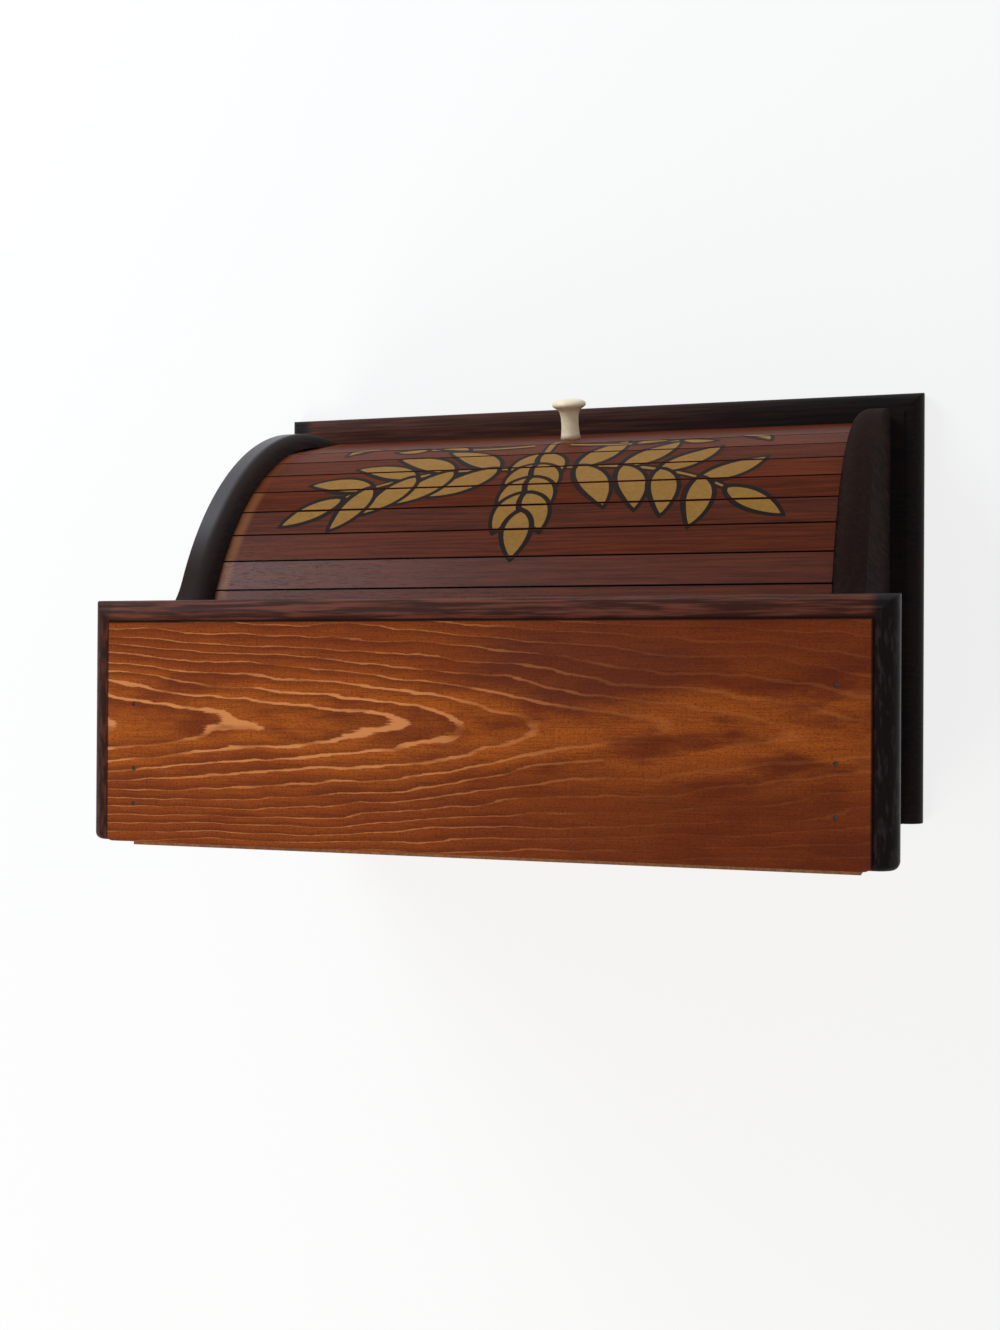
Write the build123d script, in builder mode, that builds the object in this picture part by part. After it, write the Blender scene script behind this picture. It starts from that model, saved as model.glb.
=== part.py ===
from build123d import *
from math import asin, atan2, cos, degrees, radians, sin, sqrt
import os

os.makedirs("parts", exist_ok=True)

# Roll-top bread box, closed. X runs to the right, Y to the back and Z up, in millimetres.
# The origin is under the middle of the box, on the surface that it stands on.

# Boards of the case
width = 457.0
base_depth = 286.0
top_depth = 139.0
board = 19.0
side_height = 250.0
side_inset = 21.0

# Back panel, nailed over the rear edges
back_thickness = 4.0
back_overhang = 1.5
back_foot = 2.0

# Moulded edge of the top and base boards
moulding_width = 12.7
moulding_step = 1.6
moulding_round = 11.0
rear_corner = 4.0

# Curve that the closed shutter follows, measured from the boards' rear edges and the base's top
curve_radius = 195.0
curve_setback = 65.5
curve_rise = 13.0
turn_radius = 50.0

# Front edges of the side panels
edge_stand = 9.5
flare_radius = 55.0
brow_depth = 123.0

# Rail under the top board
header_thickness = 19.0
header_clearance = 2.0

# Shutter
slat_count = 9
slat_thickness = 6.5
slat_angle = 6.18
slat_round = 0.8
canvas_thickness = 1.0
canvas_lap = 15.0
canvas_inset = 10.0
fold_gap = 0.3
end_clearance = 0.4
rail_thickness = 12.0
rail_top_angle = 21.6
rail_lean = 12.6
foot_clearance = 0.3

# Tongues of the shutter and the groove that they run in
tongue_thickness = 4.0
tongue_length = 5.0
tongue_setback = 1.25
groove_width = 5.5
groove_depth = 6.0
guided_slats = 1

# Knob and its screw
knob_head = 23.0
knob_head_thickness = 7.0
knob_neck = 11.6
knob_foot = 14.0
knob_length = 27.0
knob_brim = 2.6
knob_shoulder = 3.2
knob_crown = 1.4
knob_neck_cones = 3
screw_shank = 4.0
screw_head = 8.0
screw_head_thickness = 2.4
screw_head_chamfer = 0.8
screw_seat = 0.6
screw_bite = 12.0

# Nails and wood screws
nail_shank = 1.8
nail_head = 2.6
nail_head_thickness = 1.0
nail_length = 42.0
nail_set = 0.4
pin_shank = 1.6
pin_head = 3.2
pin_head_thickness = 0.8
pin_length = 20.0
base_screw_length = 38.0
base_screw_inset = 45.0
screw_head_taper = 45.0
fastener_fit = 0.05
nail_sides = 8

# Distances of the top nails from the boards' rear edges, and of the header nails from its edges
right_nails = (22.0, 42.0, 79.0)
left_nails = (26.5, 53.5, 93.0)
header_nail_margin = 11.0
pin_margin = 25.0
side_pin_count = 4
base_pin_count = 5

# Places that follow from the sizes
front_y = -(base_depth + back_thickness) / 2
rear_y = front_y + base_depth
base_top = board
top_under = base_top + side_height
top_face = top_under + board
side_outer = width / 2 - side_inset
side_inner = side_outer - board
side_middle = side_outer - board / 2

curve_y = rear_y - curve_setback
curve_z = base_top + curve_rise
turn_y = curve_y
turn_z = curve_z + curve_radius - turn_radius
edge_radius = curve_radius + edge_stand
brow_y = rear_y - brow_depth
flare_y = brow_y - flare_radius
flare_z = curve_z + sqrt((edge_radius + flare_radius) ** 2 - (curve_y - flare_y) ** 2)
flare_angle = degrees(atan2(flare_z - curve_z, flare_y - curve_y))

fold_radius = curve_radius - slat_thickness - canvas_thickness
fold_pitch = 2 * fold_radius * sin(radians(slat_angle / 2))
chord_radius = fold_radius * cos(radians(slat_angle / 2))
slat_width = fold_pitch - fold_gap
slat_half_length = side_inner - end_clearance
tongue_half_length = side_inner + tongue_length
tongue_outer = chord_radius + canvas_thickness + slat_thickness - tongue_setback
track_setback = curve_radius - tongue_outer + tongue_thickness / 2
rail_top_line = fold_pitch / 2 - fold_gap / 2


def shutter_plane(angle, radius):
    """Plane at an angle above the front horizontal: its X runs up the curve and its Y points outwards."""
    middle = (0, curve_y - radius * cos(radians(angle)), curve_z + radius * sin(radians(angle)))
    uphill = (0, sin(radians(angle)), cos(radians(angle)))
    return Plane(origin=middle, x_dir=uphill, z_dir=(1, 0, 0))


below_slats = shutter_plane(rail_top_angle - slat_angle / 2, chord_radius)


def places(points, outward):
    """Places of fasteners whose heads are at the points and face outwards."""
    return [Plane(origin=point, z_dir=outward).location for point in points]


def prisms(spots, start, depth, size, grow, mode):
    """Shanks and heads with a few flat sides, from a start below the board's face down to a depth."""
    for spot in spots:
        with BuildSketch(Plane(spot).offset(-start)) as section:
            RegularPolygon(size / 2 + grow, nail_sides)
        extrude(section.sketch, amount=start - depth - grow, mode=mode)


def nails(spots, shank, head, head_thickness, length):
    """Nails with their heads set below the face."""
    prisms(spots, nail_set, nail_set + head_thickness, head, 0, Mode.ADD)
    prisms(spots, nail_set, nail_set + length, shank, 0, Mode.ADD)


def nail_holes(spots, shank, head, head_thickness, length):
    """The holes that the same nails fill."""
    prisms(spots, 0, nail_set + head_thickness, head, fastener_fit, Mode.SUBTRACT)
    prisms(spots, 0, nail_set + length, shank, fastener_fit, Mode.SUBTRACT)


def screws(spots, grow, mode):
    """Countersunk wood screws, or their holes where they grow by a clearance."""
    prisms(spots, 0, base_screw_length, screw_shank, grow, mode)
    for spot in spots:
        with BuildSketch(Plane(spot)) as section:
            RegularPolygon(screw_head / 2 + grow, nail_sides)
        extrude(section.sketch, amount=-(screw_head - screw_shank) / 2, taper=screw_head_taper, mode=mode)


def moulded_board(under, board_depth):
    """A board whose front and side edges have a rounded moulding with a small step."""
    with BuildPart() as blank:
        with BuildSketch(Plane.XY.offset(under)):
            with Locations((0, rear_y)):
                Rectangle(width, board_depth, align=(Align.CENTER, Align.MAX))
        extrude(amount=board - moulding_step)
        edges = blank.edges().group_by(Axis.Z)[-1].sort_by(Axis.Y)
        fillet(edges[:-1], moulding_round)
        with BuildSketch(Plane.XY.offset(under)):
            with Locations((0, rear_y)):
                Rectangle(
                    width - 2 * moulding_width,
                    board_depth - moulding_width,
                    align=(Align.CENTER, Align.MAX),
                )
        extrude(amount=board)
    return blank.part


# Fastener places
right_nail_points = [(side_middle, rear_y - setback, top_face) for setback in right_nails]
left_nail_points = [(-side_middle, rear_y - setback, top_face) for setback in left_nails]
top_nail_spots = places(right_nail_points + left_nail_points, (0, 0, 1))
screw_reach = edge_radius + curve_setback - 2 * base_screw_inset
base_screw_points = [
    (side * side_middle, rear_y - base_screw_inset - screw_reach * share, 0)
    for side in (1, -1)
    for share in (0, 0.5, 1)
]
base_screw_spots = places(base_screw_points, (0, 0, -1))

header_front = brow_y + edge_stand
header_back = header_front + header_thickness
header_foot = curve_z + sqrt((curve_radius + header_clearance) ** 2 - (curve_y - header_back) ** 2)
header_nail_heights = (header_foot + header_nail_margin, top_under - header_nail_margin)
header_middle = header_front + header_thickness / 2
right_header_spots = places([(side_outer, header_middle, z) for z in header_nail_heights], (1, 0, 0))
left_header_spots = places([(-side_outer, header_middle, z) for z in header_nail_heights], (-1, 0, 0))
header_nail_spots = right_header_spots + left_header_spots

back_y = rear_y + back_thickness
back_half = side_outer + back_overhang
side_pin_step = (side_height - 2 * pin_margin) / (side_pin_count - 1)
base_pin_step = 2 * (side_inner - pin_margin) / (base_pin_count - 1)
side_pin_points = [
    (side * side_middle, back_y, base_top + pin_margin + side_pin_step * i)
    for side in (1, -1)
    for i in range(side_pin_count)
]
base_pin_points = [
    (pin_margin - side_inner + base_pin_step * i, back_y, base_top / 2 + back_foot / 2)
    for i in range(base_pin_count)
]
back_pin_spots = places(side_pin_points + base_pin_points, (0, 1, 0))
pin_sizes = (pin_shank, pin_head, pin_head_thickness, pin_length)
nail_sizes = (nail_shank, nail_head, nail_head_thickness, nail_length)

# Base board
with BuildPart() as base_board:
    add(moulded_board(0, base_depth))
    screws(base_screw_spots, fastener_fit, Mode.SUBTRACT)
    nail_holes(back_pin_spots, *pin_sizes)

# Top board, with its rear corners rounded off
with BuildPart() as top_board:
    add(moulded_board(top_under, top_depth))
    fillet(top_board.edges().filter_by(Axis.Z).group_by(Axis.Y)[-1], rear_corner)
    nail_holes(top_nail_spots, *nail_sizes)

# Shape of a side panel: the front edge follows the shutter, then flares up to the top board
with BuildPart() as panel_blank:
    with BuildSketch(Plane.YZ.offset(side_inner)):
        with BuildLine():
            foot_angle = 180 + degrees(asin(curve_rise / edge_radius))
            front = CenterArc((curve_y, curve_z), edge_radius, flare_angle, foot_angle - flare_angle)
            flare = CenterArc((flare_y, flare_z), flare_radius, flare_angle - 180, 180 - flare_angle)
            Polyline(
                flare @ 1,
                (brow_y, top_under),
                (rear_y, top_under),
                (rear_y, base_top),
                front @ 1,
            )
        make_face()
    extrude(amount=board)
    inner_face = panel_blank.faces().sort_by(Axis.X)[0]
    fillet(inner_face.edges().filter_by(GeomType.CIRCLE), edge_stand)
    with BuildSketch(Plane.YZ.offset(side_inner)):
        with BuildLine():
            track_radius = curve_radius - track_setback
            below_foot = degrees(asin((curve_rise + groove_width) / track_radius))
            CenterArc((curve_y, curve_z), track_radius, 90, 90 + below_foot)
            turn = CenterArc((turn_y, turn_z), turn_radius - track_setback, 0, 90)
            Line(turn @ 0, (turn_y + turn_radius - track_setback, base_top - groove_width))
        trace(line_width=groove_width)
    extrude(amount=groove_depth, mode=Mode.SUBTRACT)

# Side panels, one of each hand, with the holes of their own nails
with BuildPart() as side_panel_right:
    add(panel_blank.part)
    nail_holes(top_nail_spots + right_header_spots, *nail_sizes)
    nail_holes(back_pin_spots, *pin_sizes)
    screws(base_screw_spots, fastener_fit, Mode.SUBTRACT)

with BuildPart() as side_panel_left:
    mirror(panel_blank.part, about=Plane.YZ)
    nail_holes(top_nail_spots + left_header_spots, *nail_sizes)
    nail_holes(back_pin_spots, *pin_sizes)
    screws(base_screw_spots, fastener_fit, Mode.SUBTRACT)

# Header rail between the side panels, close above the shutter
with BuildPart() as header_rail:
    with BuildSketch(Plane.YZ):
        with Locations((header_middle, top_under)):
            Rectangle(header_thickness, top_under - header_foot, align=(Align.CENTER, Align.MAX))
    extrude(amount=side_inner, both=True)
    nail_holes(header_nail_spots, *nail_sizes)

# Back panel
with BuildPart() as back_panel:
    with BuildSketch(Plane.XZ.offset(-rear_y)):
        with Locations((0, top_under)):
            Rectangle(2 * back_half, top_under - back_foot, align=(Align.CENTER, Align.MAX))
    extrude(amount=-back_thickness)
    nail_holes(back_pin_spots, *pin_sizes)

# Nails and screws of the case
with BuildPart() as top_nails:
    nails(top_nail_spots, *nail_sizes)

with BuildPart() as header_nails:
    nails(header_nail_spots, *nail_sizes)

with BuildPart() as back_pins:
    nails(back_pin_spots, *pin_sizes)

with BuildPart() as base_screws:
    screws(base_screw_spots, 0, Mode.ADD)


# Bottom rail: a flat board that leans back, cut level at the foot and square to the first slat at the top
rail_end = fold_pitch / 2
rail_rise = sqrt(curve_radius**2 - rail_top_line**2) - chord_radius
rail_slant = rail_thickness / cos(radians(rail_top_angle - slat_angle / 2 - rail_lean))
outer_top = below_slats.from_local_coords(Vector(rail_top_line, rail_rise, 0))
inner_top = below_slats.from_local_coords(Vector(rail_top_line, rail_rise - rail_slant, 0))
rail_foot = base_top + foot_clearance
rail_height = (outer_top.Z - rail_foot) / cos(radians(rail_lean))
rail_uphill = Vector(0, sin(radians(rail_lean)), cos(radians(rail_lean)))
outer_foot = outer_top - rail_uphill * rail_height
inner_foot = outer_foot + Vector(0, rail_thickness / cos(radians(rail_lean)), 0)
knob_seat = Plane(origin=(outer_top + outer_foot) * 0.5, x_dir=rail_uphill, z_dir=(1, 0, 0))
knob_out = knob_seat.y_dir
knob_screw_head = knob_seat.from_local_coords(Vector(0, screw_seat - rail_thickness, 0))
knob_screw_spots = places([knob_screw_head], knob_out * -1)
tongue_inner = tongue_outer - tongue_thickness
with BuildPart() as bottom_rail:
    with BuildSketch(Plane.YZ) as rail_section:
        corners = [(corner.Y, corner.Z) for corner in (outer_top, outer_foot, inner_foot, inner_top)]
        Polygon(*corners, align=None)
    extrude(amount=slat_half_length, both=True)
    with BuildSketch(Plane.YZ) as rail_tongue:
        add(rail_section.sketch_local)
        with Locations((curve_y, curve_z)):
            Circle(tongue_outer, mode=Mode.INTERSECT)
            Circle(tongue_inner, mode=Mode.SUBTRACT)
    extrude(amount=tongue_half_length, both=True)
    with BuildSketch(below_slats):
        with Locations((rail_end, canvas_thickness)):
            Rectangle(canvas_lap, rail_thickness, align=(Align.MAX, Align.MAX))
    extrude(amount=tongue_half_length, both=True, mode=Mode.SUBTRACT)
    prisms(knob_screw_spots, -rail_thickness, 0, screw_head, fastener_fit, Mode.SUBTRACT)
    prisms(knob_screw_spots, 0, rail_thickness, screw_shank, fastener_fit, Mode.SUBTRACT)

# Knob: a turned mushroom shape on a waisted neck, with each curve cut as a few cones
with BuildPart() as knob:
    with BuildSketch(Plane(origin=knob_seat.origin, x_dir=(1, 0, 0), z_dir=knob_seat.x_dir * -1)):
        with BuildLine():
            head_foot = knob_length - knob_head_thickness
            neck_curve = ThreePointArc(
                (knob_foot / 2, 0),
                (knob_neck / 2, head_foot / 2),
                (knob_head / 2 - knob_brim, head_foot),
                mode=Mode.PRIVATE,
            )
            neck_points = [neck_curve @ (cone / knob_neck_cones) for cone in range(knob_neck_cones + 1)]
            Polyline(
                (0, 0),
                *neck_points,
                (knob_head / 2, head_foot + knob_brim),
                (knob_head / 2 - knob_shoulder, knob_length - knob_crown),
                (0, knob_length),
                (0, 0),
            )
        make_face()
    revolve(axis=Axis(knob_seat.origin, knob_out))
    knob_foot_spots = places([knob_seat.origin], knob_out * -1)
    prisms(knob_foot_spots, 0, screw_bite, screw_shank, fastener_fit, Mode.SUBTRACT)

# Screw that holds the knob from inside the rail
with BuildPart() as knob_screw:
    prisms(knob_screw_spots, -screw_head_thickness, 0, screw_head, 0, Mode.ADD)
    prisms(knob_screw_spots, 0, rail_thickness - screw_seat + screw_bite, screw_shank, 0, Mode.ADD)
    head_face = knob_screw.faces().sort_by(Axis(knob_seat.origin, knob_out))[0]
    chamfer(head_face.edges(), screw_head_chamfer)

# Slats, and the canvas that joins them behind. The lowest slats turn with the rail and keep their tongues.
slats = []
canvases = []
for number in range(1, slat_count + 1):
    here = shutter_plane(rail_top_angle + (number - 0.5) * slat_angle, chord_radius)
    with BuildPart() as slat:
        with BuildSketch(here) as section:
            with Locations((0, canvas_thickness)):
                Rectangle(slat_width, slat_thickness, align=(Align.CENTER, Align.MIN))
            fillet(section.vertices().group_by(Axis((0, 0, 0), here.y_dir))[-1], slat_round)
        extrude(amount=slat_half_length, both=True)
        if number <= guided_slats:
            with BuildSketch(here):
                with Locations((0, tongue_outer - chord_radius)):
                    Rectangle(slat_width, tongue_thickness, align=(Align.CENTER, Align.MAX))
            extrude(amount=tongue_half_length, both=True)
    slats.append(slat.part)
    if number > guided_slats:
        with BuildPart() as canvas:
            with BuildSketch(here):
                Rectangle(slat_width, canvas_thickness, align=(Align.CENTER, Align.MIN))
            extrude(amount=slat_half_length - canvas_inset, both=True)
        canvases.append((number, canvas.part))

# Canvas of the rail and the slats that turn with it, in one strip along their backs
with BuildPart() as canvas_rail:
    with BuildSketch(Plane.YZ):
        with BuildLine() as back_line:
            first = below_slats.from_local_coords(Vector(rail_end - canvas_lap, canvas_thickness / 2, 0))
            ridge_radius = (chord_radius + canvas_thickness / 2) / cos(radians(slat_angle / 2))
            stops = [(first.Y, first.Z)]
            for step in range(guided_slats):
                ridge = shutter_plane(rail_top_angle + step * slat_angle, ridge_radius).origin
                stops.append((ridge.Y, ridge.Z))
            end = shutter_plane(rail_top_angle + (guided_slats - 0.5) * slat_angle, chord_radius)
            last = end.from_local_coords(Vector(slat_width / 2, canvas_thickness / 2, 0))
            stops.append((last.Y, last.Z))
            Polyline(*stops)
        trace(line_width=canvas_thickness)
    extrude(amount=slat_half_length - canvas_inset, both=True)

pieces = {
    "base_board": base_board.part,
    "top_board": top_board.part,
    "side_panel_right": side_panel_right.part,
    "side_panel_left": side_panel_left.part,
    "header_rail": header_rail.part,
    "back_panel": back_panel.part,
    "top_nails": top_nails.part,
    "header_nails": header_nails.part,
    "back_pins": back_pins.part,
    "base_screws": base_screws.part,
    "bottom_rail": bottom_rail.part,
    "knob": knob.part,
    "knob_screw": knob_screw.part,
    "canvas_rail": canvas_rail.part,
}
for number, piece in enumerate(slats, 1):
    pieces[f"slat_{number:02d}"] = piece
for number, piece in canvases:
    pieces[f"canvas_{number:02d}"] = piece

for name, piece in pieces.items():
    piece.label = name
    export_step(piece, f"parts/{name}.step")
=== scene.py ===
from math import cos, degrees, pi, radians, sin

import bmesh
import bpy
from mathutils import Matrix, Vector
from mathutils.geometry import delaunay_2d_cdt


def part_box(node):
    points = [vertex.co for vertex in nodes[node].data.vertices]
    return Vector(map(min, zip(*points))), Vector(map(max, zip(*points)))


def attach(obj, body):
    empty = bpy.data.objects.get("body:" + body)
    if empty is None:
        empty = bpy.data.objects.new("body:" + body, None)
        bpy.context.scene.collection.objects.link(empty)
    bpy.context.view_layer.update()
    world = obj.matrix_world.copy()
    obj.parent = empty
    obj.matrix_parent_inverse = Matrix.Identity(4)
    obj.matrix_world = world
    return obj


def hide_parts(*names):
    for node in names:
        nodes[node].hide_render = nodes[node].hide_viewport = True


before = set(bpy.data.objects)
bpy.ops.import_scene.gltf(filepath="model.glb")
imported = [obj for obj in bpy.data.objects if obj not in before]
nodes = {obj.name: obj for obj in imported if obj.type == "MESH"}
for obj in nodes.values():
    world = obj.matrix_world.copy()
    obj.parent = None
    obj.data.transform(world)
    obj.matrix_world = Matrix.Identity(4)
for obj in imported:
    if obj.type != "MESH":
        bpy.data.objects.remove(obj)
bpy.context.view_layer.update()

# Sizes in millimetres, as in the part's source
MM = 0.001
WIDTH = 457.0
TOP_FRONT = 2.0
TOP_REAR = 141.0
BASE_FRONT = -145.0
MOULDING = 12.7
PANEL_INNER = 188.5
CURVE_Y = 75.5
CURVE_Z = 32.0
CURVE_RADIUS = 195.0
FACET_RADIUS = 194.73
RAIL_TOP = 21.6
RAIL_LEAN = 12.6
SLAT_ANGLE = 6.18
SLAT_COUNT = 9
KNOB_LENGTH = 27.0

# The painting stops short of the slats' edges, and its film is half sunk in the wood
PAINTED_HALF_SLAT = 9.5
RAIL_MARGIN = 0.25
PAINT_DEPTH = 0.16
OUTLINE = 3.4

# The top board's grain: its heart line, the nested points along it, and the lines beside it
HEART_Y = 72.5
FIRST_POINT_X = 210.0
POINT_SPACING = 63.7
POINT_REACH = 70.0
LINE_SPACING = 6.2


class Socket:
    """A node's output. Python maths on it adds Math nodes."""

    def __init__(self, shading, socket):
        self.shading = shading
        self.socket = socket

    def maths(self, operation, *values):
        return self.shading.node("ShaderNodeMath", {"operation": operation}, dict(enumerate(values)))

    def __add__(self, other):
        return self.maths("ADD", self, other)

    def __sub__(self, other):
        return self.maths("SUBTRACT", self, other)

    def __rsub__(self, other):
        return self.maths("SUBTRACT", other, self)

    def __mul__(self, other):
        return self.maths("MULTIPLY", self, other)

    def __truediv__(self, other):
        return self.maths("DIVIDE", self, other)

    def __rtruediv__(self, other):
        return self.maths("DIVIDE", other, self)

    __radd__ = __add__
    __rmul__ = __mul__

    def fract(self):
        return self.maths("FRACT", self)

    def size(self):
        return self.maths("ABSOLUTE", self)

    def root(self):
        return self.maths("SQRT", self)

    def wave(self):
        return self.maths("SINE", self)

    def ramp(self, low, high):
        """0 below the low value, 1 above the high one, with a smooth step between."""
        return self.shading.node(
            "ShaderNodeMapRange", {"interpolation_type": "SMOOTHSTEP"}, {0: self, 1: low, 2: high}
        )


class Shading:
    """The nodes of the world or of a material."""

    def __init__(self, tree):
        self.tree = tree

    def node(self, kind, settings, sockets, output=0):
        """One output of a new node, which is given its settings and what goes into its sockets."""
        made = self.tree.nodes.new(kind)
        for key, value in settings.items():
            setattr(made, key, value)
        for key, value in sockets.items():
            if isinstance(value, Socket):
                self.tree.links.new(value.socket, made.inputs[key])
            else:
                made.inputs[key].default_value = value
        return Socket(self, made.outputs[output])

    def seen(self):
        """1 for what the camera or a reflection looks at, and 0 for what only gives light."""
        rays = ("Is Camera Ray", "Is Glossy Ray", "Is Transmission Ray")
        camera, glossy, clear = (self.node("ShaderNodeLightPath", {}, {}, ray) for ray in rays)
        return camera.maths("MAXIMUM", camera, glossy.maths("MAXIMUM", glossy, clear))

    def whiten(self, share, plain, white, output):
        """Mixes a share of a white shader into the plain one, for the output node."""
        both = self.node("ShaderNodeMixShader", {}, {0: share, 1: plain, 2: white})
        self.tree.links.new(both.socket, self.tree.nodes[output].inputs["Surface"])


class Finish(Shading):
    """A material, and the short ways to add its nodes."""

    def __init__(self, name, shine=0.2, coat=0.0):
        self.material = bpy.data.materials.new(name)
        self.material.use_nodes = True
        super().__init__(self.material.node_tree)
        self.shader = self.tree.nodes["Principled BSDF"]
        self.set(Specular_IOR_Level=shine, Coat_Weight=coat, Coat_Roughness=0.2)

    def set(self, **sockets):
        """Links or sets the shader's own sockets, named with _ for a space."""
        for key, value in sockets.items():
            socket = self.shader.inputs[key.replace("_", " ")]
            if isinstance(value, Socket):
                self.tree.links.new(value.socket, socket)
            else:
                socket.default_value = value

    def place(self):
        """The point on the object, in millimetres."""
        point = self.node("ShaderNodeTexCoord", {}, {}, "Object")
        return self.vector("SCALE", point, scale=1000.0)

    def vector(self, operation, a, b=None, scale=None):
        sockets = {0: a}
        if b is not None:
            sockets[1] = b
        if scale is not None:
            sockets[3] = scale
        return self.node("ShaderNodeVectorMath", {"operation": operation}, sockets)

    def along(self, point, axis):
        """One coordinate of a point."""
        return self.node("ShaderNodeSeparateXYZ", {}, {0: point}, "XYZ".index(axis))

    def noise(self, point, stretch, detail=2.0, roughness=0.5, shift=(0.0, 0.0, 0.0)):
        """Noise between 0 and 1 whose size along each axis is in millimetres."""
        moved = self.vector("ADD", point, shift)
        scaled = self.vector("DIVIDE", moved, stretch)
        settings = {"Vector": scaled, "Scale": 1.0, "Detail": detail, "Roughness": roughness}
        return self.node("ShaderNodeTexNoise", {}, settings)

    def mix(self, share, first, second):
        """A colour between the first, at share 0, and the second, at share 1."""
        return self.node("ShaderNodeMix", {"data_type": "RGBA"}, {0: share, 6: first, 7: second}, 2)

    def patch(self, x, y, middle, reach, soft):
        """1 inside an oval, given by its middle and reaches in millimetres, 0 outside, and soft between."""
        across = (x - middle[0]) / reach[0]
        up = (y - middle[1]) / reach[1]
        return 1.0 - (across * across + up * up).ramp(1.0 - soft, 1.0 + soft)

    def bump(self, height, depth):
        """Relief of a height between 0 and 1, as deep as said in millimetres."""
        self.set(Normal=self.node("ShaderNodeBump", {}, {"Height": height, "Distance": depth * MM}))


def tint(red, green, blue):
    """A screen colour of 0 to 255 as the shader's linear colour."""
    shares = (((value / 255 + 0.055) / 1.055) ** 2.4 for value in (red, green, blue))
    return (*shares, 1.0)


# Near-black painted shade, for the gaps between slats and the step of the top board's moulding
SEAM_SHADE = tint(14, 9, 7)
WHITE = tint(255, 255, 255)


def top_rings(pine, point, x, y):
    """Growth rings of a flat-sawn board: dark late wood, and the pale line that ends each ring."""
    wander = pine.noise(point, (120.0, 34.0, 60.0), detail=1.0)
    ripple = pine.noise(point, (34.0, 12.0, 30.0), detail=2.0, shift=(40.0, 90.0, 0.0))
    jag = pine.noise(point, (11.0, 1.1, 9.0), detail=3.0, roughness=0.7)
    heart = y - HEART_Y - (wander - 0.5) * 12.0
    pull = 1.0 / (1.0 + heart * heart / (POINT_REACH * POINT_REACH))
    bow = (heart * heart + 200.0).root() - 14.1
    back_from_end = FIRST_POINT_X - x
    slowed = back_from_end.ramp(0.0, 175.0) - back_from_end.ramp(165.0, 262.0)
    run = back_from_end / POINT_SPACING - slowed * 0.68
    rings = run * pull + bow / LINE_SPACING + heart * heart / 2400.0
    ring = (rings + (ripple - 0.5) * 0.9 + (jag - 0.5) * 0.26).fract()

    near = 0.5 - (ring - 0.5).size()
    breaks = pine.noise(point, (46.0, 9.0, 20.0), detail=2.0, shift=(0.0, 90.0, 0.0))
    at_point = 1.0 - heart.size().ramp(14.0, 44.0)
    width = 0.025 + breaks * (0.06 + at_point * 0.10)
    line = 1.0 - (near / width).ramp(0.55, 1.15)
    worn = breaks.ramp(0.34, 0.56)
    rightward = x.ramp(-110.0, 60.0)
    line = line * (0.10 + rightward * 0.90) * (0.16 + worn * 0.84) * (0.55 + at_point * 0.45)
    line = line * (1.0 - y.ramp(TOP_REAR - 1.5, TOP_REAR - 0.3) * 0.8)
    late = ring.ramp(0.25, 0.9) * (1.0 - ring.ramp(0.93, 1.0)) * (0.2 + rightward * 0.25)
    along_heart = 1.0 - heart.size().ramp(12.0, 40.0)
    return late, line, along_heart


def top_stain(pine, point, x, y, along_heart):
    """Orange-brown stain, golden along the heart and smoky in places."""
    golden = pine.noise(point, (64.0, 17.0, 60.0), detail=5.0, roughness=0.6, shift=(60.0, 0.0, 0.0))
    stain = pine.mix(x.ramp(-190.0, 120.0), tint(100, 41, 18), tint(138, 64, 25))
    glow = golden.ramp(0.36, 0.60) * (0.2 + along_heart * 0.8) * (0.7 + x.ramp(-120.0, 60.0) * 0.3)
    stain = pine.mix(glow, stain, tint(176, 90, 30))
    cloud = pine.noise(point, (56.0, 14.0, 30.0), detail=5.0, roughness=0.65, shift=(0.0, 0.0, 50.0))
    smoke = pine.patch(x, y, (-66.0, 38.0), (62.0, 22.0), 0.95) * (0.1 + cloud)
    return pine.mix(smoke + cloud.ramp(0.50, 0.72) * 0.30, stain, tint(96, 45, 30))


def top_moulding(pine, point, x, side, front):
    """Dark moulded edge of the top board, nearly black at its left end."""
    along_trim = pine.noise(point, (46.0, 2.4, 2.4), detail=3.0, roughness=0.6)
    across_trim = pine.noise(point, (2.2, 9.0, 9.0), detail=3.0)
    on_side = 1.0 - (side - front).ramp(-2.0, 2.0)
    figure = along_trim + (across_trim - along_trim) * on_side
    brown = pine.mix(figure.ramp(0.42, 0.66), tint(54, 26, 19), tint(104, 56, 42))
    black = pine.mix(figure.ramp(0.5, 0.7), tint(18, 13, 13), tint(44, 38, 40))
    moulded = pine.mix(1.0 - x.ramp(-219.0, -212.0), brown, black)
    return pine.mix(x.ramp(213.0, 219.0) * 0.6, moulded, tint(36, 19, 15))


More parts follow.
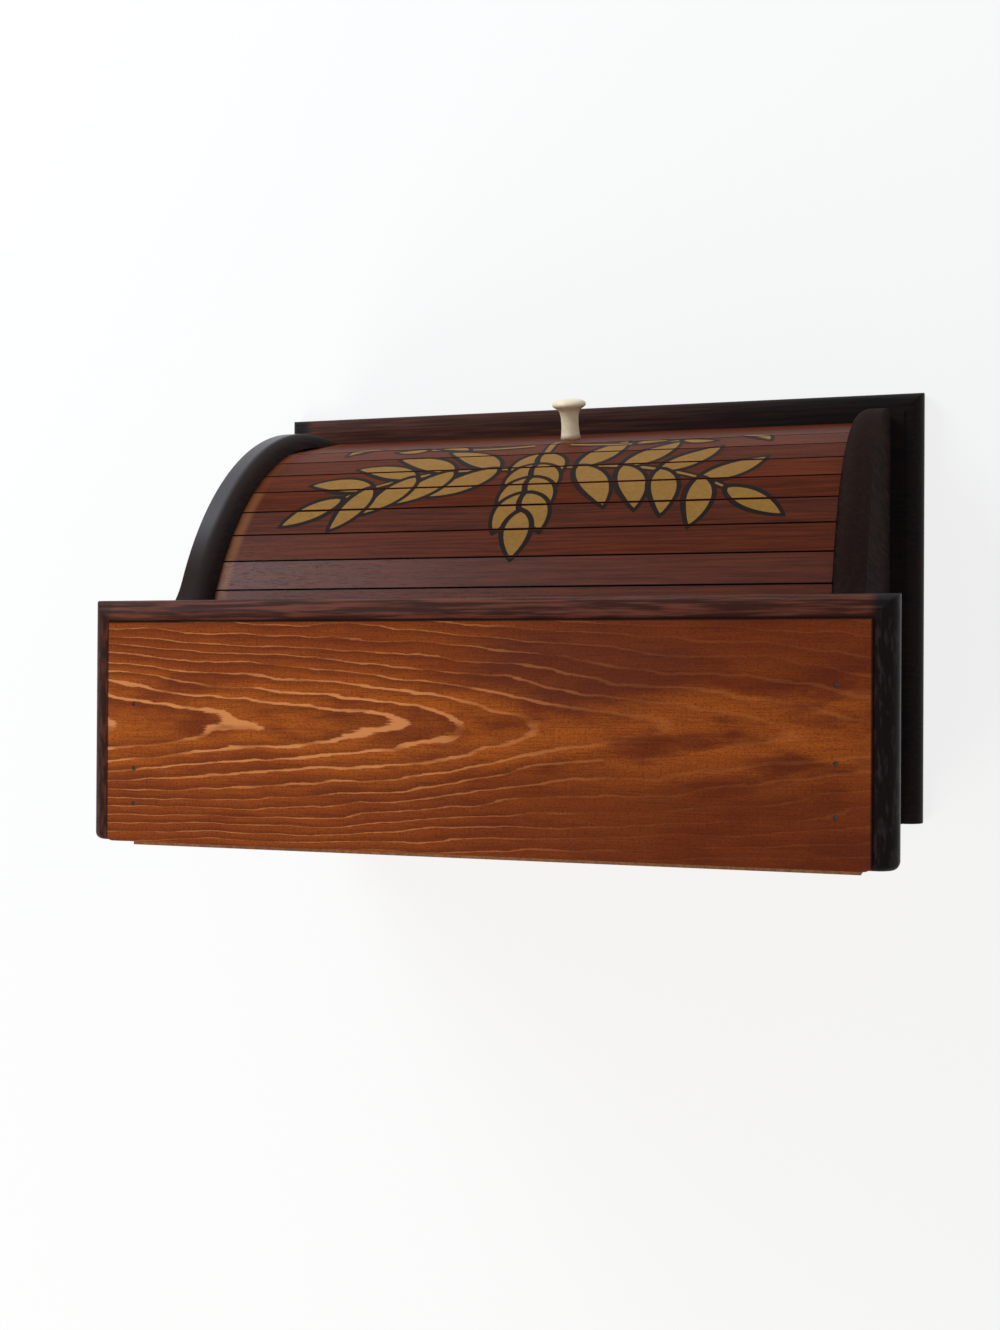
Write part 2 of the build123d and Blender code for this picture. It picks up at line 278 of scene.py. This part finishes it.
def top_board_pine():
    """Orange-brown pine with pale latewood lines in nested points, inside a dark moulded edge."""
    pine = Finish("stained_pine_top", shine=0.05)
    point = pine.place()
    x = pine.along(point, "X")
    y = pine.along(point, "Y")
    late, line, along_heart = top_rings(pine, point, x, y)
    ground = top_stain(pine, point, x, y, along_heart)
    ground = pine.mix(late, ground, tint(84, 34, 17))
    streak = pine.noise(point, (30.0, 0.8, 4.0), detail=4.0, roughness=0.7)
    ground = pine.mix(streak.ramp(0.45, 0.72) * 0.55, ground, tint(74, 30, 16))
    saw = pine.noise(point, (0.8, 14.0, 9.0), detail=1.0)
    ground = pine.mix(saw.ramp(0.5, 0.8) * 0.22, ground, tint(70, 30, 18))
    specks = pine.noise(point, (1.6, 0.7, 1.0), detail=3.0, roughness=0.75)
    ground = pine.mix(specks.ramp(0.50, 0.62) * 0.55, ground, tint(66, 27, 14))
    ground = pine.mix(line, ground, tint(206, 132, 78))

    side = WIDTH / 2 - x.size()
    front = y - TOP_FRONT
    inset = side.maths("MINIMUM", side, front)
    trim = 1.0 - inset.ramp(MOULDING - 0.4, MOULDING + 0.4)
    colour = pine.mix(trim, ground, top_moulding(pine, point, x, side, front))
    # Painted shade in a thin near-black line along the moulding's step
    step_shade = 1.0 - (inset - MOULDING).size().ramp(0.3, 1.2)
    colour = pine.mix(step_shade * 0.9, colour, SEAM_SHADE)
    pine.set(Base_Color=colour, Roughness=0.36 + specks * 0.2 + line * 0.1)
    pine.bump(line * 0.6 + streak * 0.3 + specks * 0.2, 0.14)
    return pine.material


def base_board_pine():
    """Dark-stained pine of the base board, with painted light that browns its front moulding, more towards
    +X.
    """
    pine = Finish("stained_pine_base", shine=0.05)
    point = pine.place()
    x = pine.along(point, "X")
    y = pine.along(point, "Y")
    streak = pine.noise(point, (60.0, 2.0, 2.0), detail=3.0, roughness=0.6)
    slow = pine.noise(point, (110.0, 30.0, 40.0), detail=2.0)
    front = 1.0 - (y - BASE_FRONT).ramp(20.0, 28.0)
    end = 1.0 - (WIDTH / 2 - x.size()).ramp(10.0, 20.0)
    # Painted light: brown at the front, more so towards +X, and none near the ends
    painted_light = front * x.ramp(-200.0, 150.0) * (1.0 - end)
    dark = pine.mix(streak.ramp(0.4, 0.7), tint(14, 12, 13), tint(32, 23, 20))
    brown = pine.mix(streak.ramp(0.4, 0.7), tint(56, 30, 24), tint(88, 52, 42))
    colour = pine.mix(painted_light, dark, brown)
    colour = pine.mix(slow.ramp(0.45, 0.7) * 0.4, colour, tint(38, 23, 19))
    pine.set(Base_Color=colour, Roughness=0.4 + streak * 0.25)
    pine.bump(streak, 0.12)
    return pine.material


def panel_pine(name, shine, matt):
    """Nearly black upright pine of the panels and header rail, polished at the right panel's edge, with a
    painted sheen there.
    """
    pine = Finish(name, shine=shine)
    point = pine.place()
    streak = pine.noise(point, (2.2, 2.2, 60.0), detail=3.0, roughness=0.6)
    slow = pine.noise(point, (30.0, 30.0, 90.0), detail=2.0)
    rubs = pine.noise(point, (1.1, 20.0, 30.0), detail=3.0, roughness=0.7, shift=(9.0, 0.0, 0.0))
    colour = pine.mix(streak.ramp(0.4, 0.75), tint(22, 15, 13), tint(48, 33, 28))
    colour = pine.mix(slow.ramp(0.5, 0.75) * 0.4, colour, tint(48, 31, 25))
    colour = pine.mix(rubs.ramp(0.68, 0.8) * 0.35, colour, tint(96, 80, 72))
    y = pine.along(point, "Y") - CURVE_Y
    z = pine.along(point, "Z") - CURVE_Z
    front_edge = (y * y + z * z).root().ramp(CURVE_RADIUS + 4.0, CURVE_RADIUS + 8.0)
    outer = pine.along(point, "X").ramp(PANEL_INNER + 6.0, PANEL_INNER + 11.0)
    colour = pine.mix(front_edge * 0.65, colour, tint(40, 29, 25))
    # Below the flare, the outer part of the front edge is polished to a lower roughness and painted a
    # lighter grey as its sheen
    polish_and_painted_sheen = front_edge * outer * (1.0 - z.ramp(150.0, 185.0))
    colour = pine.mix(polish_and_painted_sheen, colour, tint(66, 63, 66))
    pine.set(Base_Color=colour, Roughness=matt - polish_and_painted_sheen * (matt - 0.32) + streak * 0.15)
    pine.bump(streak, 0.1)
    return pine.material


def slat_mahogany(name, number, depth, shine=0.02):
    """Mahogany red-brown of one slat, or of the rail as number 0, with its own depth and grain; slats get
    painted shade at their edges.
    """
    wood = Finish(name, shine=shine)
    point = wood.place()
    x = wood.along(point, "X")
    y = wood.along(point, "Y")
    z = wood.along(point, "Z")
    own = (137.0 * number, 53.0 * number, 71.0 * number)
    grain = wood.noise(point, (50.0, 1.7, 1.7), detail=3.0, roughness=0.65, shift=own)
    pores = wood.noise(point, (6.0, 0.5, 0.5), detail=2.0, roughness=0.6, shift=own)
    slow = wood.noise(point, (90.0, 14.0, 14.0), detail=2.0, shift=own)
    share = grain.ramp(0.3, 0.72) * 0.6 + slow * 0.4 + (depth - 0.5) * 0.7
    colour = wood.mix(share, tint(56, 22, 12), tint(110, 48, 24))
    colour = wood.mix(pores.ramp(0.56, 0.72) * 0.45, colour, tint(40, 17, 11))
    # A lighter golden strip along the slats' ends at +X, fainter on the rail and the three lowest slats
    golden_end_strip = x.ramp(178.0, 183.0) * (0.8 if number > 3 else 0.2)
    colour = wood.mix(golden_end_strip, colour, tint(128, 76, 42))
    if number:
        turn = (z - CURVE_Z).maths("ARCTAN2", z - CURVE_Z, CURVE_Y - y)
        step = ((turn * (180.0 / pi) - RAIL_TOP) / SLAT_ANGLE).fract()
        edge = 0.5 - (step - 0.5).size()
        # Painted shade darkens each slat towards the gaps at its edges
        colour = wood.mix((1.0 - edge.ramp(0.012, 0.05)) * 0.9, colour, SEAM_SHADE)
    wood.set(Base_Color=colour, Roughness=0.30 + grain * 0.15)
    wood.bump(grain * 0.5 - pores.ramp(0.56, 0.72) * 0.5, 0.12)
    return wood.material


def back_hardboard():
    """Raw light-brown sheet of the back panel."""
    sheet = Finish("raw_hardboard", shine=0.2)
    point = sheet.place()
    fibres = sheet.noise(point, (2.2, 2.2, 2.2), detail=4.0, roughness=0.7)
    slow = sheet.noise(point, (60.0, 60.0, 60.0), detail=2.0)
    colour = sheet.mix(fibres.ramp(0.35, 0.7), tint(134, 92, 62), tint(170, 124, 86))
    colour = sheet.mix(slow.ramp(0.5, 0.7) * 0.4, colour, tint(124, 80, 52))
    sheet.set(Base_Color=colour, Roughness=0.65 + fibres * 0.2)
    sheet.bump(fibres, 0.08)
    return sheet.material


def canvas_weave():
    """Unbleached canvas glued behind the slats."""
    cloth = Finish("canvas", shine=0.1)
    point = cloth.place()
    warp = (cloth.along(point, "X") * (pi / 0.7)).wave().size()
    weft = (cloth.along(point, "Z") * (pi / 0.7)).wave().size()
    threads = warp * weft
    stain = cloth.noise(point, (30.0, 30.0, 30.0), detail=3.0)
    colour = cloth.mix(threads, tint(150, 128, 94), tint(192, 170, 134))
    colour = cloth.mix(stain.ramp(0.5, 0.75) * 0.4, colour, tint(144, 118, 82))
    cloth.set(Base_Color=colour, Roughness=0.85 - threads * 0.1)
    cloth.bump(threads, 0.15)
    return cloth.material


def wire_steel():
    """Dark steel of the nails, pins and screws, a little rusty."""
    steel = Finish("nail_steel", shine=0.5)
    point = steel.place()
    rust = steel.noise(point, (1.5, 1.5, 1.5), detail=3.0, roughness=0.7)
    bare = 1.0 - rust.ramp(0.4, 0.65)
    colour = steel.mix(bare, tint(48, 28, 20), tint(62, 56, 52))
    steel.set(Base_Color=colour, Metallic=bare, Roughness=0.45 + rust * 0.4)
    steel.bump(rust, 0.05)
    return steel.material


def knob_enamel():
    """Ivory enamel of the knob, a little grubby."""
    enamel = Finish("ivory_enamel", shine=0.4, coat=0.2)
    point = enamel.place()
    grime = enamel.noise(point, (3.0, 3.0, 3.0), detail=4.0, roughness=0.65)
    slow = enamel.noise(point, (12.0, 12.0, 12.0), detail=2.0)
    colour = enamel.mix(slow.ramp(0.35, 0.7), tint(250, 234, 200), tint(232, 212, 172))
    colour = enamel.mix(grime.ramp(0.6, 0.78) * 0.4, colour, tint(136, 112, 82))
    enamel.set(Base_Color=colour, Roughness=0.35 + grime * 0.25)
    enamel.bump(grime, 0.04)
    return enamel.material


def paint(name, light, dark):
    """Brushed sign paint, thin and a little worn."""
    film = Finish(name, shine=0.05)
    point = film.place()
    brush = film.noise(point, (3.0, 1.4, 1.4), detail=3.0, roughness=0.6)
    slow = film.noise(point, (26.0, 14.0, 14.0), detail=2.0)
    worn = film.noise(point, (9.0, 0.8, 0.8), detail=3.0, roughness=0.7)
    colour = film.mix(brush.ramp(0.3, 0.75) * 0.6 + slow * 0.4, dark, light)
    colour = film.mix(worn.ramp(0.64, 0.74) * 0.6, colour, tint(70, 36, 24))
    film.set(Base_Color=colour, Roughness=0.40 + brush * 0.2)
    film.bump(brush, 0.04)
    return film.material


def dress(name, material):
    """Gives a CAD node its material."""
    mesh = nodes[name].data
    mesh.materials.clear()
    mesh.materials.append(material)


def show(name, data, material):
    """A new piece with its mesh and material, in the scene."""
    data.materials.append(material)
    piece = bpy.data.objects.new(name, data)
    bpy.context.scene.collection.objects.link(piece)
    return piece


dress("top_board", top_board_pine())
dress("base_board", base_board_pine())
dress("side_panel_right", panel_pine("stained_pine_glossy", 0.22, 0.85))
dark_pine = panel_pine("stained_pine_matt", 0.02, 0.8)
dress("side_panel_left", dark_pine)
dress("header_rail", dark_pine)
dress("back_panel", back_hardboard())
enamel = knob_enamel()
dress("knob", enamel)
steel = wire_steel()
canvas = canvas_weave()
for name in ("top_nails", "header_nails", "back_pins", "base_screws", "knob_screw"):
    dress(name, steel)
for name in nodes:
    if name.startswith("canvas"):
        dress(name, canvas)
dress("bottom_rail", slat_mahogany("mahogany_rail", 0, 0.56))
# From the lowest slat up. The upper slats kept more of their varnish
slat_depths = (0.72, 0.50, 0.74, 0.52, 0.34, 0.52, 0.48, 0.48, 0.52)
slat_shines = (0.02, 0.02, 0.02, 0.02, 0.06, 0.06, 0.14, 0.14, 0.14)
for number, (depth, shine) in enumerate(zip(slat_depths, slat_shines), 1):
    dress(f"slat_{number:02d}", slat_mahogany(f"mahogany_{number:02d}", number, depth, shine))

# The rail's flat face leans back by its angle between these two corners of its box
rail_low, rail_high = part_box("bottom_rail")
rail_foot = Vector((0, rail_low.y, rail_low.z)) / MM
rail_uphill = Vector((0, sin(radians(RAIL_LEAN)), cos(radians(RAIL_LEAN))))
rail_outward = Vector((0, -cos(radians(RAIL_LEAN)), sin(radians(RAIL_LEAN))))
rail_height = (rail_high.z - rail_low.z) / MM / cos(radians(RAIL_LEAN))
rail_edge_up = radians(RAIL_TOP) * CURVE_RADIUS - RAIL_MARGIN


def turned_knob(sides=48):
    """The turned knob on the middle of the rail's face: foot, waisted neck, and head with a soft brim."""
    # Each ring's radius and its distance out from the rail
    outline = (
        (6.9, 0.0), (6.3, 3.0), (5.9, 7.0), (5.8, 11.0), (6.0, 15.0), (6.7, 18.0), (8.2, 20.0),
        (10.0, 21.1), (11.1, 22.0), (11.45, 23.0), (11.1, 24.2), (9.8, 25.4), (7.6, 26.2), (4.6, 26.7),
        (2.0, KNOB_LENGTH - 0.1),
    )
    middle = rail_foot + rail_uphill * rail_height / 2
    across = Vector((1, 0, 0))
    mesh = bmesh.new()
    rings = []
    for radius, out in outline:
        ring = []
        for side in range(sides):
            angle = 2 * pi * side / sides
            spoke = (across * cos(angle) + rail_uphill * sin(angle)) * radius
            ring.append(mesh.verts.new((middle + rail_outward * out + spoke) * MM))
        rings.append(ring)
    for low, high in zip(rings, rings[1:]):
        for side in range(sides):
            after = (side + 1) % sides
            mesh.faces.new((low[side], low[after], high[after], high[side]))
    mesh.faces.new(rings[0])
    mesh.faces.new(rings[-1])
    bmesh.ops.recalc_face_normals(mesh, faces=mesh.faces)
    for face in mesh.faces:
        face.smooth = len(face.verts) == 4
    data = bpy.data.meshes.new("turned_knob")
    mesh.to_mesh(data)
    mesh.free()
    piece = show("turned_knob", data, enamel)
    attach(piece, "shutter_front")
    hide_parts("knob")


turned_knob()


def leaf(foot, length, width, lean, curl=0.0, steps=20):
    """A pointed leaf from its foot, and its outline. It leans from upright and curls along its length."""
    return tuple(leaf_shape(foot, length, width, lean, curl, steps, grow) for grow in (OUTLINE, 0.0))


def leaf_shape(foot, length, width, lean, curl, steps, grow):
    """The edge of a leaf that is grown on all sides."""
    heading = radians(lean)
    reach = length + 2.4 * grow
    middle = [Vector(foot) - grow * 1.2 * Vector((sin(heading), cos(heading)))]
    headings = [heading]
    for _ in range(steps):
        heading += radians(curl) / steps
        middle.append(middle[-1] + reach / steps * Vector((sin(heading), cos(heading))))
        headings.append(heading)
    left = []
    right = []
    for step in range(steps + 1):
        half = (width / 2 + grow) * sin(pi * (step / steps) ** 0.82) ** 0.8
        side = Vector((cos(headings[step]), -sin(headings[step])))
        left.append(middle[step] - side * half)
        right.append(middle[step] + side * half)
    return left + right[-2:0:-1]


def path(start, lean, length, curl, steps=30):
    """Points along a curve that starts with a lean from upright and curls."""
    heading = radians(lean)
    points = [Vector(start)]
    for _ in range(steps):
        heading += radians(curl) / steps
        points.append(points[-1] + length / steps * Vector((sin(heading), cos(heading))))
    return points


def stem(points, width):
    """A tapering stem along points, and its outline."""
    return tuple(stem_shape(points, width, grow) for grow in (OUTLINE * 0.6, 0.0))


def stem_shape(points, width, grow):
    """The edge of a tapering stem that is grown on both sides."""
    left = []
    right = []
    last = len(points) - 1
    for step, here in enumerate(points):
        ahead = points[min(step + 1, last)] - points[max(step - 1, 0)]
        side = Vector((ahead.y, -ahead.x)).normalized()
        half = width / 2 * (1.0 - 0.6 * step / last) + grow
        left.append(here - side * half)
        right.append(here + side * half)
    return left + right[::-1]


def leaf_pairs(points, first, pairs, spacing, length, width, spread, shrink=1.0):
    """Pairs of leaves along a stem, each pair a share of the last one's size, and one leaf at the tip."""
    motifs = []
    step_length = (points[1] - points[0]).length
    for pair in range(pairs):
        index = min(int((first + pair * spacing) / step_length), len(points) - 2)
        ahead = points[index + 1] - points[index]
        lean = degrees(Vector((0, 1)).angle_signed(ahead))
        size = shrink**pair
        for side in (1, -1):
            turn = lean + side * spread
            motifs.append(leaf(points[index], length * size, width * size, turn, -side * 24))
    lean = degrees(Vector((0, 1)).angle_signed(points[-1] - points[-2]))
    motifs.append(leaf(points[-1], length * shrink**pairs, width * shrink**pairs, lean))
    return motifs


def ornament():
    """A wheat ear between two leafy sprays. Each motif is an outline shape and then a gold shape."""
    motifs = []
    for side in (1, -1):
        spray = path((side * 6, 118), lean=side * 100, length=124, curl=side * -46)
        motifs.append(stem(spray, width=4.0))
        motifs += leaf_pairs(
            spray, first=22, pairs=4, spacing=28, length=50, width=17, spread=side * 50, shrink=0.95
        )
        low = path((side * 12, 76), lean=side * 78, length=112, curl=side * 34)
        motifs.append(stem(low, width=3.0))
        motifs.append(leaf(low[-1], length=26, width=8, lean=side * 80, curl=side * -60))
        motifs.append(leaf(low[12], length=20, width=6, lean=side * 128, curl=side * -50))
        motifs.append(leaf(low[20], length=20, width=6, lean=side * 60, curl=side * 40))
    upright = path((0, 60), lean=0, length=104, curl=0)
    motifs.append(stem(upright, width=4.4))
    motifs += leaf_pairs(upright, first=36, pairs=4, spacing=18, length=36, width=15, spread=36)
    return motifs


def counter_clockwise(shape):
    """The same outline, turned so that its area is positive."""
    area = sum(here.x * after.y - after.x * here.y for here, after in zip(shape, shape[1:] + shape[:1]))
    return shape if area > 0 else shape[::-1]


def slat_middle(number):
    """Angle of a slat's middle above the front horizontal, in radians."""
    return radians(RAIL_TOP + (number - 0.5) * SLAT_ANGLE)


def shutter_point(x, up, number, height):
    """A point of the painting on the closed shutter, in metres. The rail has the number 0."""
    if number == 0:
        down = rail_edge_up + RAIL_MARGIN - up
        foot = Vector((x, rail_foot.y, rail_foot.z))
        return (foot + rail_uphill * (rail_height - down) + rail_outward * height) * MM
    middle = slat_middle(number)
    outward = Vector((0, -cos(middle), sin(middle)))
    uphill = Vector((0, sin(middle), cos(middle)))
    centre = Vector((x, CURVE_Y, CURVE_Z))
    return (centre + outward * (FACET_RADIUS + height) + uphill * (up - middle * CURVE_RADIUS)) * MM


def slat_at(up):
    """The slat that a height lies on, 0 for the rail, or None in the groove between two."""
    if up < rail_edge_up:
        return 0
    for number in range(1, SLAT_COUNT + 1):
        if abs(up - slat_middle(number) * CURVE_RADIUS) < PAINTED_HALF_SLAT:
            return number
    return None


def cut_painting(motifs):
    """Cuts the painting into triangles by slat and colour. The last motif painted is on top."""
    points = []
    shapes = []
    for motif in motifs:
        for shape in motif:
            shapes.append(list(range(len(points), len(points) + len(shape))))
            points += counter_clockwise(shape)
    heights = [rail_edge_up]
    for number in range(1, SLAT_COUNT + 1):
        middle = slat_middle(number) * CURVE_RADIUS
        heights += [middle - PAINTED_HALF_SLAT, middle + PAINTED_HALF_SLAT]
    cuts = []
    for up in heights:
        cuts.append((len(points), len(points) + 1))
        points += [Vector((-PANEL_INNER, up)), Vector((PANEL_INNER, up))]
    flat, _, triangles, _, _, sources = delaunay_2d_cdt(points, cuts, shapes, 0, 0.0001, True)
    films = {}
    for triangle, source in zip(triangles, sources):
        middle = sum((flat[corner] for corner in triangle), Vector((0, 0))) / 3
        number = slat_at(middle.y)
        if source and number is not None:
            colour = ("outline", "gold")[max(source) % 2]
            films.setdefault((number, colour), []).append(triangle)
    return flat, films


def paint_ornament(paints):
    """Lays the ornament on the rail and slats as thin films of paint, one for each slat and colour."""
    flat, films = cut_painting(ornament())
    for (number, colour), triangles in sorted(films.items()):
        mesh = bmesh.new()
        made = {}
        for triangle in triangles:
            for corner in triangle:
                if corner not in made:
                    made[corner] = mesh.verts.new(shutter_point(*flat[corner], number, PAINT_DEPTH / 2))
            mesh.faces.new([made[corner] for corner in triangle])
        if sum(face.normal.y for face in mesh.faces) > 0:
            bmesh.ops.reverse_faces(mesh, faces=mesh.faces)
        data = bpy.data.meshes.new(f"painted_{colour}_{number:02d}")
        mesh.to_mesh(data)
        mesh.free()
        piece = show(data.name, data, paints[colour])
        film = piece.modifiers.new("film", "SOLIDIFY")
        film.thickness = PAINT_DEPTH * MM
        film.offset = -1.0
        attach(piece, "shutter_front" if number < 2 else f"slat_{number:02d}_link")


paint_ornament({
    "gold": paint("gilt_paint", tint(158, 118, 58), tint(136, 96, 43)),
    "outline": paint("outline_paint", tint(38, 27, 23), tint(25, 18, 17)),
})


def floor_sheet():
    """White floor that keeps a soft shadow."""
    reach = 6.0
    gap_below_box = 0.0005
    glow_share = 0.8
    data = bpy.data.meshes.new("floor")
    corners = [(-reach, -reach, 0), (reach, -reach, 0), (reach, reach, 0), (-reach, reach, 0)]
    data.from_pydata(corners, [], [(0, 1, 2, 3)])
    white = Finish("floor_white")
    white.set(Base_Color=(0.9, 0.9, 0.9, 1.0), Roughness=0.9)
    glow = white.node("ShaderNodeEmission", {}, {"Color": WHITE, "Strength": 1.0})
    white.whiten(white.seen() * glow_share, Socket(white, white.shader.outputs[0]), glow, "Material Output")
    sheet = show("floor", data, white.material)
    sheet.location.z = -gap_below_box


def lamp(name, place, aim, size, power, colour):
    """A soft square lamp at a place, turned towards its aim."""
    light = bpy.data.lights.new(name, "AREA")
    light.size = size
    light.energy = power
    light.color = colour
    made = bpy.data.objects.new(name, light)
    made.location = place
    made.rotation_euler = (Vector(aim) - Vector(place)).to_track_quat("-Z", "Y").to_euler()
    bpy.context.scene.collection.objects.link(made)


def sky():
    """Even pale light from all round, and plain white behind everything."""
    world = bpy.data.worlds.new("studio")
    bpy.context.scene.world = world
    world.use_nodes = True
    air = Shading(world.node_tree)
    pale = air.node("ShaderNodeBackground", {}, {"Color": WHITE, "Strength": 0.40})
    white = air.node("ShaderNodeBackground", {}, {"Color": WHITE, "Strength": 1.0})
    air.whiten(air.seen(), pale, white, "World Output")


def photo_camera():
    """Camera above the box's left half, tilted to the right, with the box's front up in the picture."""
    place = Vector((-0.272767, 0.043962, 1.0866))
    side = 0.3042075
    tip = 0.0060802
    roll = 0.0058089
    focal_length = 1570.8234
    picture_width = 1000.0
    ahead = Vector((sin(side), 0, -cos(side)))
    right = Vector((-cos(side), 0, -sin(side)))
    up = Vector((0, -1, 0))
    look = cos(tip) * ahead + sin(tip) * up
    level = cos(tip) * up - sin(tip) * ahead
    across = cos(roll) * right + sin(roll) * level
    tall = cos(roll) * level - sin(roll) * right
    data = bpy.data.cameras.new("camera")
    data.sensor_fit = "HORIZONTAL"
    data.lens = data.sensor_width * focal_length / picture_width
    data.clip_start = 0.05
    data.clip_end = 50.0
    camera = bpy.data.objects.new("camera", data)
    turned = Matrix((across, tall, -look)).transposed().to_4x4()
    camera.matrix_world = Matrix.Translation(place) @ turned
    bpy.context.scene.collection.objects.link(camera)
    bpy.context.scene.camera = camera


floor_sheet()
sky()
lamp("window", (1.2, -1.3, 1.0), (0, 0, 0.15), size=1.0, power=28.0, colour=(0.80, 0.89, 1.0))
lamp("lounge", (0.9, 1.2, 1.4), (0, 0, 0.2), size=0.9, power=16.0, colour=(1.0, 0.95, 0.88))
photo_camera()
bpy.context.scene.view_settings.view_transform = "Standard"
